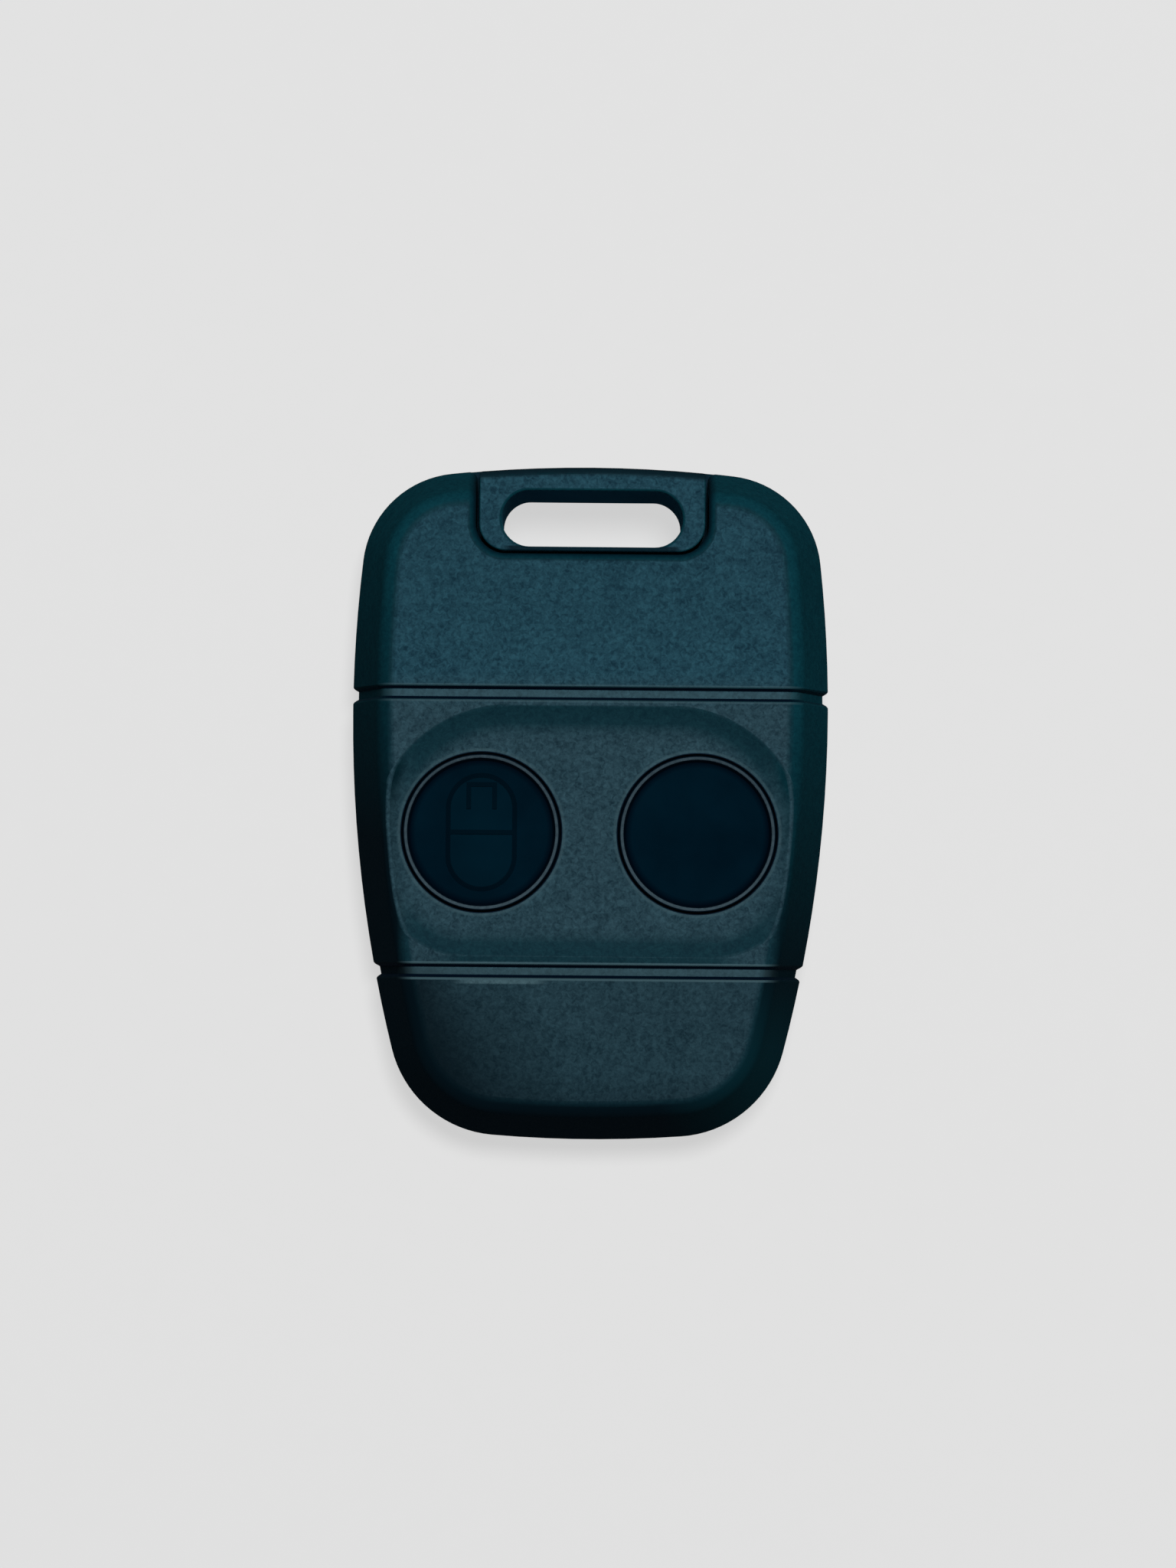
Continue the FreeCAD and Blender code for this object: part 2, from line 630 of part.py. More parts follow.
def button():
    """Right button: a cap with a raised rim and a dished face, cored from below."""
    crest_z = DISH_FLOOR_Z + BUTTON_RIM_TOP
    face_r = BUTTON_R - BUTTON_RIM_W - BUTTON_RIM_SLOPE
    face_z = crest_z - BUTTON_FACE_DROP
    outer = rod(BUTTON_X, BUTTON_Y, BUTTON_R, BUTTON_BASE_Z, crest_z)
    flange = rod(BUTTON_X, BUTTON_Y, BUTTON_R + BUTTON_FLANGE_OVER, BUTTON_BASE_Z,
                 BUTTON_BASE_Z + BUTTON_FLANGE_T)
    bowl_r = (face_r ** 2 + BUTTON_DISH ** 2) / (2 * BUTTON_DISH)
    pit = turned(BUTTON_X, BUTTON_Y, [(0, face_z), (face_r, face_z), (face_r + BUTTON_RIM_SLOPE, crest_z),
                                      (face_r + BUTTON_RIM_SLOPE, crest_z + FIT), (0, crest_z + FIT)])
    bowl = Part.makeSphere(bowl_r, V(BUTTON_X, BUTTON_Y, face_z - BUTTON_DISH + bowl_r))
    cap = outer.cut(pit)
    crest = edges_near(cap, lambda e: e.BoundBox.ZMin > crest_z - TINY)
    cap = cap.makeFillet(MOULD_EDGE_R, crest)
    cap = cap.cut(bowl.common(rod(BUTTON_X, BUTTON_Y, face_r, face_z - BUTTON_DISH - FIT, face_z + FIT)))
    core = ring(BUTTON_X, BUTTON_Y, BUTTON_CORE_R, BUTTON_BOSS_R, BUTTON_BASE_Z,
                BUTTON_BASE_Z + BUTTON_CORE_DEPTH)
    return cap.fuse(flange).cut(core).removeSplitter()


def padlock_sign():
    """Faint raised padlock on the left button: a capsule outline, a cross bar and a flat-topped shackle."""
    x, y = -BUTTON_X, BUTTON_Y
    face_z = DISH_FLOOR_Z + BUTTON_RIM_TOP - BUTTON_FACE_DROP
    z0, z1 = face_z - BUTTON_DISH - FIT, face_z + SIGN_HEIGHT - BUTTON_DISH
    inner_w, inner_h = SIGN_W - 2 * SIGN_LINE, SIGN_H - 2 * SIGN_LINE

    def capsule(w, h):
        return rounded(x, y, w, h, w / 2 - TINY, z0, z1)

    sign = capsule(SIGN_W, SIGN_H).cut(capsule(inner_w, inner_h))
    bar = block(x, y, inner_w + SIGN_LINE, SIGN_LINE, z0, z1)
    foot_y, half = y + SIGN_SHACKLE_Y, SIGN_SHACKLE_W / 2
    head_y = foot_y + SIGN_SHACKLE_H
    shackle = box(x - half, x + half, foot_y, head_y, z0, z1)
    corners = edges_near(shackle, lambda e: is_upright(e) and middle(e).y > head_y - TINY)
    shackle = shackle.makeFillet(SIGN_LINE, corners)
    inner_half = half - SIGN_LINE
    hollow = box(x - inner_half, x + inner_half, foot_y, head_y - SIGN_LINE, z0, z1)
    return sign.fuse([bar, shackle.cut(hollow)]).removeSplitter()


def keypad_web():
    """Rubber mat pressed against the ceiling, sunk round each button, with feet down to the board."""
    mat = rounded(0, BUTTON_Y, 2 * WEB_HALF_W, 2 * WEB_HALF_H, WEB_CORNER_R, WEB_Z, CEILING_Z)
    sink_r = BUTTON_R + BUTTON_FLANGE_OVER + FIT
    for side in (-1, 1):
        x = side * BUTTON_X
        mat = mat.cut(rod(x, BUTTON_Y, sink_r, BUTTON_BASE_Z - BUTTON_TRAVEL - FIT, CEILING_Z))
        mat = mat.cut(rod(x, BUTTON_Y, WEB_HOLE_R, WEB_Z, CEILING_Z))
    foot_y = WEB_HALF_H - 2 * WEB_FOOT_R
    foot_x = WEB_HALF_W - 2 * WEB_FOOT_R
    for x in (-foot_x, 0, foot_x):
        for dy in (-foot_y, foot_y):
            mat = mat.fuse(rod(x, BUTTON_Y + dy, WEB_FOOT_R, BOARD_TOP + REST_GAP, WEB_Z + FIT))
    return mat.removeSplitter()


def keypad_pad():
    """Moving centre of the mat under the right button, with its nib above the switch."""
    top = BUTTON_BASE_Z
    disc = rod(BUTTON_X, BUTTON_Y, PAD_R, top - PAD_T, top)
    nib = rod(BUTTON_X, BUTTON_Y, PAD_NIB_R, PLUNGER_TOP + REST_GAP, top)
    return disc.fuse(nib).removeSplitter()


def keypad_skirt():
    """Thin rubber cone that joins the mat to the pad and gives as the button goes down."""
    low, high = WEB_Z, BUTTON_BASE_Z
    return turned(BUTTON_X, BUTTON_Y, [(WEB_HOLE_R, low), (WEB_HOLE_R, low + SKIRT_T), (PAD_R, high),
                                       (PAD_R, high - SKIRT_T)])


# Board, aerial and seal

def circuit_board():
    board = drafted([(BOARD_Z, BOARD_INSET), (BOARD_TOP, BOARD_INSET)], inner_outline)
    for x, y in PEG_SPOTS:
        board = board.cut(rod(x, y, PEG_R + FIT, BOARD_Z, BOARD_TOP))
    for y in HOOK_YS:
        room = box(hook_x(y) - HOOK_T - BOARD_CLEARANCE, HALF_WIDTH, y - HOOK_W / 2 - BOARD_CLEARANCE,
                   y + HOOK_W / 2 + BOARD_CLEARANCE, BOARD_Z, BOARD_TOP)
        board = board.cut(room).cut(mirrored(room))
    return board


def aerial_track():
    """Copper loop round the board's key-ring end, inside the upper hooks."""
    z0, z1 = BOARD_TOP, BOARD_TOP + TRACK_T
    half_w = hook_x(HOOK_YS[0]) - HOOK_T - BOARD_CLEARANCE - TRACK_MARGIN
    top_y = INNER_TOP_Y - BOARD_INSET - TRACK_END_MARGIN
    length = 2 * (top_y - TRACK_BOTTOM_Y)
    outer = rounded(0, TRACK_BOTTOM_Y, 2 * half_w, length, TRACK_CORNER_R, z0, z1)
    inner = rounded(0, TRACK_BOTTOM_Y, 2 * (half_w - TRACK_W), length - 2 * TRACK_W,
                    TRACK_CORNER_R - TRACK_W, z0, z1)
    return outer.cut(inner).common(box(-BIG, BIG, TRACK_BOTTOM_Y, BIG, z0, z1))


# Coin cell and contacts

def cell_can():
    """Steel cup of the cell, crimped in over the gasket."""
    z0, z1 = CELL_Z, CELL_TOP - CELL_STEP
    inner = CELL_R - CELL_CAN_T
    lip_r = CELL_CAP_R + CELL_GASKET_T
    return turned(0, CELL_Y, [(0, z0), (CELL_R - CELL_CRIMP, z0), (CELL_R, z0 + CELL_CRIMP),
                              (CELL_R, z1 - CELL_CRIMP), (CELL_R - CELL_CRIMP, z1), (lip_r, z1),
                              (lip_r, z1 - CELL_CAN_T), (inner, z1 - CELL_CAN_T - CELL_CRIMP),
                              (inner, z0 + CELL_CAN_T), (0, z0 + CELL_CAN_T)])


def cell_cap():
    """Negative cap of the cell with what it closes in."""
    z0 = CELL_Z + CELL_CAN_T + CELL_GASKET_T
    return turned(0, CELL_Y, [(0, z0), (CELL_CAP_R, z0), (CELL_CAP_R, CELL_TOP - CELL_CRIMP),
                              (CELL_CAP_R - CELL_CRIMP, CELL_TOP), (0, CELL_TOP)])


def cell_gasket():
    z0, z1 = CELL_Z + CELL_CAN_T, CELL_TOP - CELL_STEP
    ring_part = ring(0, CELL_Y, CELL_CAP_R + CELL_GASKET_T, CELL_CAP_R, z0, z1)
    floor = rod(0, CELL_Y, CELL_CAP_R, z0, z0 + CELL_GASKET_T)
    return ring_part.fuse(floor).removeSplitter()


def positive_contact():
    """Spring strip that passes under the can and up both sides to the board."""
    x0 = CELL_R + CLIP_GAP
    x1 = x0 + CLIP_T
    z0, z1 = CELL_Z - CLIP_T, CELL_Z
    foot = x1 + CLIP_FOOT
    profile = [(-x1, z0), (x1, z0), (x1, BOARD_Z - CLIP_T), (foot, BOARD_Z - CLIP_T), (foot, BOARD_Z),
               (x0, BOARD_Z), (x0, z1), (-x0, z1), (-x0, BOARD_Z), (-foot, BOARD_Z),
               (-foot, BOARD_Z - CLIP_T), (-x1, BOARD_Z - CLIP_T)]
    return prism_y(profile, CELL_Y - CLIP_W / 2, CELL_Y + CLIP_W / 2)


def negative_contact():
    """Leaf spring from the board's underside down to the cell's cap."""
    root_y = CELL_Y + CELL_R + NEST_FIT
    tip_y = root_y - LEAF_REACH
    foot_y = root_y + LEAF_FOOT
    profile = [(foot_y, BOARD_Z), (root_y, BOARD_Z), (tip_y, CELL_TOP + LEAF_T),
               (tip_y - LEAF_T, CELL_TOP + LEAF_T), (tip_y - LEAF_T, CELL_TOP), (tip_y, CELL_TOP),
               (root_y, BOARD_Z - LEAF_T), (foot_y, BOARD_Z - LEAF_T)]
    return prism_x(profile, -LEAF_W / 2, LEAF_W / 2)


# Push switches, made for the right button

def switch_base():
    z0, z1 = BOARD_TOP, BOARD_TOP + SWITCH_BASE_H
    base = rounded(BUTTON_X, BUTTON_Y, SWITCH_W, SWITCH_W, MOULD_EDGE_R, z0, z1)
    return base.cut(rod(BUTTON_X, BUTTON_Y, SWITCH_WELL_R, z0 + SWITCH_FLOOR, z1))


def switch_cover():
    z0 = BOARD_TOP + SWITCH_BASE_H
    plate = rounded(BUTTON_X, BUTTON_Y, SWITCH_W, SWITCH_W, MOULD_EDGE_R, z0, z0 + SWITCH_PLATE_T)
    plate = plate.cut(rod(BUTTON_X, BUTTON_Y, SWITCH_STEM_R + SWITCH_GAP, z0, z0 + SWITCH_PLATE_T))
    for side in (-1, 1):
        flap_y = BUTTON_Y + side * (SWITCH_W + SWITCH_PLATE_T) / 2
        flap = block(BUTTON_X, flap_y, SWITCH_W / 2, SWITCH_PLATE_T, z0 - SWITCH_BASE_H / 2,
                     z0 + SWITCH_PLATE_T)
        plate = plate.fuse(flap)
    return plate.removeSplitter()


def switch_plunger():
    flange_top = BOARD_TOP + SWITCH_BASE_H - SWITCH_GAP
    flange = rod(BUTTON_X, BUTTON_Y, SWITCH_WELL_R - SWITCH_GAP, flange_top - SWITCH_FLANGE_T, flange_top)
    stem = rod(BUTTON_X, BUTTON_Y, SWITCH_STEM_R, flange_top - SWITCH_FLANGE_T, PLUNGER_TOP)
    plunger = flange.fuse(stem).removeSplitter()
    top = edges_near(plunger, lambda e: e.BoundBox.ZMin > PLUNGER_TOP - TINY)
    return plunger.makeFillet(MOULD_EDGE_R, top)


def switch_dome():
    """Snap dome on the switch's floor, just under the plunger."""
    z0 = BOARD_TOP + SWITCH_FLOOR
    radius = (DOME_R ** 2 + DOME_RISE ** 2) / (2 * DOME_RISE)
    centre = V(BUTTON_X, BUTTON_Y, z0 + DOME_RISE - radius)
    shell = Part.makeSphere(radius, centre).cut(Part.makeSphere(radius - DOME_T, centre))
    return shell.common(rod(BUTTON_X, BUTTON_Y, DOME_R, z0, z0 + DOME_RISE + DOME_T))


def switch_terminals():
    """Four legs, out of the sides and down to the board."""
    half = SWITCH_W / 2
    legs = []
    for side in (-1, 1):
        for dy in (-TERMINAL_PITCH / 2, TERMINAL_PITCH / 2):
            near, far = sorted((side * half, side * (half + TERMINAL_REACH)))
            legs.append(box(BUTTON_X + near, BUTTON_X + far, BUTTON_Y + dy - TERMINAL_W / 2,
                            BUTTON_Y + dy + TERMINAL_W / 2, BOARD_TOP, BOARD_TOP + TERMINAL_T))
    return Part.makeCompound(legs)


# Electronic parts on the board

def chip_body(chip):
    z0 = BOARD_TOP + CHIP_STANDOFF
    body = block(chip["x"], chip["y"], chip["w"], chip["l"], z0, BOARD_TOP + chip["h"])
    return body.makeChamfer(MOULD_EDGE_R, edges_near(body, lambda e: e.BoundBox.ZMin > z0 + TINY))


def chip_legs(chip):
    """Bent legs down both long sides of a chip."""
    legs = []
    exit_z = BOARD_TOP + (CHIP_STANDOFF + chip["h"]) / 2
    x0 = chip["w"] / 2
    knee, toe = x0 + LEG_REACH / 2, x0 + LEG_REACH
    low, t = BOARD_TOP, LEG_T / 2
    profile = [(x0, exit_z - t), (knee - LEG_T, exit_z - t), (knee - LEG_T, low), (toe, low),
               (toe, low + LEG_T), (knee, low + LEG_T), (knee, exit_z + t), (x0, exit_z + t)]
    for i in range(chip["legs"]):
        y = chip["y"] + (i - (chip["legs"] - 1) / 2) * chip["pitch"]
        leg = prism_y(profile, y - LEG_W / 2, y + LEG_W / 2)
        for shape in (leg, mirrored(leg)):
            legs.append(shape.translated(V(chip["x"], 0, 0)))
    return Part.makeCompound(legs)


def transistor_body():
    t = TRANSISTOR
    z0, z1 = BOARD_TOP + CHIP_STANDOFF, BOARD_TOP + t["h"]
    return block(t["x"], INNER_TOP_Y - t["down"], t["w"], t["l"], z0, z1)


def transistor_legs():
    """Two legs on one side and one on the other."""
    t = TRANSISTOR
    legs = []
    for side, dy in ((-1, -t["pitch"] / 2), (-1, t["pitch"] / 2), (1, 0.0)):
        x = t["x"] + side * (t["w"] + LEG_REACH / 2) / 2
        top = BOARD_TOP + CHIP_STANDOFF + LEG_T
        legs.append(block(x, INNER_TOP_Y - t["down"] + dy, LEG_REACH / 2, LEG_W, BOARD_TOP, top))
    return Part.makeCompound(legs)


def resonator_base():
    x, down = RESONATOR_SPOT
    return rod(x, INNER_TOP_Y - down, RESONATOR_FLANGE_R, BOARD_TOP, BOARD_TOP + RESONATOR_BASE_T)


def resonator_can():
    """Metal can of the frequency resonator."""
    x, down = RESONATOR_SPOT
    can = rod(x, INNER_TOP_Y - down, RESONATOR_R, BOARD_TOP + RESONATOR_BASE_T, BOARD_TOP + RESONATOR_H)
    top = edges_near(can, lambda e: e.BoundBox.ZMin > BOARD_TOP + RESONATOR_H - TINY)
    return can.makeFillet(RESONATOR_EDGE_R, top)


def tantalum_capacitor():
    t = TANTALUM
    body = block(t["x"], INNER_TOP_Y - t["down"], t["w"], t["l"], BOARD_TOP, BOARD_TOP + t["h"])
    return body.makeChamfer(MOULD_EDGE_R, edges_near(body, lambda e: e.BoundBox.ZMin > BOARD_TOP + TINY))


def below_end(spots):
    """Places of spots that are given down from the inner end."""
    return [(x, INNER_TOP_Y - down) for x, down in spots]


def beside_loop():
    """Places of the resistors near the board's sides."""
    return [(side * (HALF_WIDTH - x), INNER_TOP_Y - down) for side, x, down in SIDE_RESISTORS]


def chip_group(spots, size):
    """Small two-ended chip parts: a body with a slightly larger metal end at each side."""
    w, l, h = size
    parts = []
    for x, y in spots:
        body = block(x, y, w - 2 * END_CAP, l, BOARD_TOP, BOARD_TOP + h)
        caps = [block(x + side * (w - END_CAP) / 2, y, END_CAP, l + 2 * END_CAP_T, BOARD_TOP,
                      BOARD_TOP + h + END_CAP_T) for side in (-1, 1)]
        parts.append(body.fuse(caps).removeSplitter())
    return Part.makeCompound(parts)


def save(name, shape):
    shape.exportStep(f"parts/{name}.step")


def build():
    os.makedirs("parts", exist_ok=True)
    save("front_casing", front_casing())
    save("rear_casing", rear_casing())
    save("perimeter_seal", seal_ring())
    save("keypad_web", keypad_web())
    save("circuit_board", circuit_board())
    save("aerial_track", aerial_track())
    save("button_right", button())
    save("button_left", mirrored(button()).fuse(padlock_sign()).removeSplitter())
    pairs = {"keypad_pad": keypad_pad, "keypad_skirt": keypad_skirt, "switch_base": switch_base,
             "switch_cover": switch_cover, "switch_plunger": switch_plunger,
             "switch_dome": switch_dome, "switch_terminals": switch_terminals}
    for name, make in pairs.items():
        save(f"{name}_right", make())
        save(f"{name}_left", mirrored(make()))
    save("cell_can", cell_can())
    save("cell_cap", cell_cap())
    save("cell_gasket", cell_gasket())
    save("positive_contact", positive_contact())
    save("negative_contact", negative_contact())
    save("controller_body", chip_body(CONTROLLER))
    save("controller_legs", chip_legs(CONTROLLER))
    save("memory_body", chip_body(MEMORY))
    save("memory_legs", chip_legs(MEMORY))
    save("transistor_body", transistor_body())
    save("transistor_legs", transistor_legs())
    save("resonator_base", resonator_base())
    save("resonator_can", resonator_can())
    save("tantalum_capacitor", tantalum_capacitor())
    save("chip_capacitors", chip_group(below_end(UPPER_CERAMICS) + list(LOWER_CERAMICS), CERAMIC_SIZE))
    save("chip_resistors", chip_group(beside_loop() + list(LOWER_RESISTORS), RESISTOR_SIZE))


build()
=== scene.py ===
import json
import math

import bpy
from mathutils import Matrix, Vector


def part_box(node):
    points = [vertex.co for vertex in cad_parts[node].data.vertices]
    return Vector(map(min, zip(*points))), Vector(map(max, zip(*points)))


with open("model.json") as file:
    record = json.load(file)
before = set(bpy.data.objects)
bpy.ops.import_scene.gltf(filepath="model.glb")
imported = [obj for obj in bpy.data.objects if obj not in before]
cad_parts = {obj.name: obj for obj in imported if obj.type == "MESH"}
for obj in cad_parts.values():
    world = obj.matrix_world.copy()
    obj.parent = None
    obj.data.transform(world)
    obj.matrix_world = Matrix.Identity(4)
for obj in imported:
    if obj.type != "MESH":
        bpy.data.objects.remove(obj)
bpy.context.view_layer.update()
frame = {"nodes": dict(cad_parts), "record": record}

MM = 0.001


def linear(r, g, b):
    """Linear colour of an sRGB colour given as 0 to 255."""
    def one(c):
        c /= 255
        return c / 12.92 if c <= 0.04045 else ((c + 0.055) / 1.055) ** 2.4
    return (one(r), one(g), one(b), 1.0)


# Places on the part, in millimetres. A band is its middle, half its width and its soft edge.

BUTTON_X = 9.35
BUTTON_Y = -2.88
CREST_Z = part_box("button_left")[1].z / MM
CREST_BAND = (6.53, 0.1, 0.06)
CREST_TOP = (CREST_Z - 0.06, CREST_Z - 0.01)
HOLE_R = 6.93
HOLE_LIP = (HOLE_R + 0.21, 0.07, 0.12)
HOLE_EDGE = (HOLE_R + 0.02, 0.04, 0.05)
DISH_FLOOR_Z = 11.7
DISH_X = (0.0, 15.6, 1.0)
DISH_Y = (-2.9, 11.3, 0.3)
DISH_SIDE_X = (14.5, 16.5)
DISH_SIDE_Y = (-4.2, 4.5, 4.0)
DISH_RIM_X = (0.0, 11.0, 3.0)         # the dish's lower rim, in painted shade
DISH_RIM_Y = (-13.82, 0.2, 0.1)
GROOVE_YS = (9.17, -14.87)
GROOVE_EDGES = (18.0, 16.0)           # half the width of the face at each groove
GROOVE_LIPS = (0.35, 0.7)             # how strong the painted highlight on the lips of each groove is
GROOVE_TURN = (-0.8, 0.6)             # from face to side, about the face's edge
GROOVE_REACH = (0.0, 0.78, 0.08)      # bands off each groove's middle
GROOVE_FLOOR = (0.0, 0.26, 0.08)
GROOVE_WALL = (0.44, 0.10, 0.04)
GROOVE_LIP = (0.68, 0.07, 0.06)
LUG_HALF_W = 9.83
LUG_LOW_Y = 21.67
LUG_CORNER_R = 2.35
LUG_TOP_Z = 10.7
LUG_GAP = 0.3
LUG_SOFT = 0.1
LUG_SHADE = (LUG_GAP + LUG_SOFT, LUG_GAP + 0.75)
SLOT_LOW_Y = 22.05
SLOT_X = (0.0, 8.1, 0.1)
SLOT_Y = (24.4, 2.75, 0.1)
SILL_X = (0.0, 7.2, 0.8)
SILL_DEPTH = 0.1
END_ARC = (0.0, -84.0, LUG_TOP_Z)     # centre of the key-ring end's arc
END_ARC_R = 112.9                     # its radius at the lug's top
END_SHADE = (END_ARC_R - 0.75, END_ARC_R - 0.3)
SIGN_W = 6.1
SIGN_H = 10.2
SIGN_LINE = 0.36
SIGN_SOFT = 0.05
SHACKLE_W = 2.6
SHACKLE_LOW = 2.0
SHACKLE_TOP = 4.3

# Painted shade and light, and wear, on the casings: from, to and how strong, in millimetres

LOWER_FACE_Y = (8.0, 11.0)
# painted shade: the face is darker past the lower groove, at the lower end, towards the lower left and along
# the left edge below the lower groove
PAST_GROOVE_Y = (-15.5, -14.3)
LOWER_LEFT = (-16.0, -28.0, 12.0)
LOWER_LEFT_FADE = (6.0, 15.5, 0.8)
LOWER_END_FADE = (-26.8, -23.5, 0.45)
LEFT_ARC = (98.15, 7.8, 12.4)         # centre of the left side's arc, which has a radius of 119
LEFT_EDGE_RISE = (111.6, 115.2, 0.75)
SIDE_LEAN = 0.35                      # painted shade and light: the sides turn petrol upwards and, less, to the right
SIDE_RISE = (-10.0, 15.5)
# painted light: the sides are paler at the lower right
LOWER_RIGHT = (17.0, -25.0, 9.0)
LOWER_RIGHT_FADE = (3.0, 11.0, 0.4)
SCUFF_X = (-7.6, 2.6, 1.6)            # a worn line under the lower groove
SCUFF_Y = (-15.8, 0.12, 0.1)
# painted shade on the buttons' edges, from this radius out
CAP_EDGE_RISE = (5.7, 6.15, 0.8)
CREST_WORN_Y = (-9.0, 3.5)            # the crests are a little less worn towards the key ring

# How steep a surface is, in degrees: the masks run from the first to the second

LEANING = (1.5, 12)
EDGE = (4, 22)
SHEER = (28, 60)
MATT = (30, 60)
SLOT_SHEER = (60, 80)
CAP_SHEER = (20, 45)

# How strongly each colour is laid on

PAST_GROOVE_SHARE = 0.22
LEANING_POWER = 0.7
DISH_SIDE_SHARE = 0.25                # what the dish's sides keep of the slopes' painted shade
HOLE_LIP_SHARE = 0.3
GROOVE_FLOOR_SHARE = 0.3
GROOVE_SIDE_SHARE = 0.5               # what the grooves' painted wall shade keeps on the sides
LUG_LINE_SHARE = 0.75
LUG_DARK_SHARE = 0.85
SIGN_FIELD_SHARE = 0.14
SIGN_SHADE_SHARE = 0.55
CREST_LEAST_WORN = 0.78
CREST_WORN_SPREAD = (0.7, 1.0)

# Colours of the casings and the buttons. A pair is the dark and the pale of a speckle.

# the face above the upper groove, and the greyer face below it
UPPER_FACE = (linear(8, 36, 49), linear(40, 80, 94))
LOWER_FACE = (linear(15, 37, 47), linear(49, 78, 89))
# painted shade: slopes, sides and the darkest places are darker than the face
SLOPE_SHADE = (linear(9, 35, 45), linear(20, 53, 62))
SIDE = (linear(4, 42, 52), linear(12, 60, 70))
DEEP_SHADE = linear(2, 15, 22)
# paler colour for painted highlights on the lips of holes and grooves, for the grooves' floors and for a worn
# scuff
WEAR_AND_HIGHLIGHT = linear(66, 92, 100)
# painted shade in the gaps round the buttons and on the grooves' walls
SHADE_LINE = linear(1, 13, 27)
# painted shade round the lug and on its sill and end, and painted light on the walls in its slot
LUG_LINE_SHADE = linear(1, 18, 30)
LUG_SILL_SHADE = linear(2, 20, 30)
LUG_END_SHADE = linear(8, 22, 30)
SLOT_WALL_LIGHT = linear(36, 100, 122)
CAP = (linear(0, 17, 28), linear(1, 23, 35))
# painted shade on the buttons' edges and steep walls
CAP_EDGE_SHADE = linear(0, 6, 16)
CAP_WALL_SHADE = linear(0, 8, 18)
CREST = linear(62, 79, 88)
SIGN_FIELD = linear(4, 38, 50)
# painted shade along the lines of the left button's raised sign
SIGN_SHADE = linear(0, 6, 13)

# Noise, with scales per metre

NOISE_LOW, NOISE_HIGH = 0.3, 0.7      # most of a noise's values lie between these
GRAIN_SCALE = 5200
GRAIN_SHARE = 0.18
BLOB_SCALE = 2300
BLOB_SHARE = 0.62
BLOB_SPAN = (0.34, 0.68)
PATCH_SCALE = 620
PATCH_SHARE = 0.2
CAP_GRAIN_SCALE = 2500
SMEAR_SCALE = 220
PLAIN_GRAIN_SCALE = 1500
PLAIN_CLOUD_SCALE = 250
PAPER_SCALE = 400
SCUFF_SPAN = (0.35, 0.6)
SCUFF_SPREAD = (0.5, 1.0)

# Finish: roughness from the top to the sides, relief as millimetres and strength, and gloss

CASING_ROUGH = (0.62, 0.98)
GRAIN_ROUGH = (0.03, -0.05)
CASING_GLOSS = 0.02
BLOB_RELIEF = (0.02, 0.7)
GRAIN_RELIEF = (0.01, 0.8)
CAP_ROUGH = (0.85, 0.95)
CAP_GLOSS = 0.01
CAP_RELIEF = (0.004, 0.5)
PLAIN_DARK = 0.75
PLAIN_ROUGH_SPREAD = 0.15
PLAIN_RELIEF = (0.004, 0.6)


# Materials


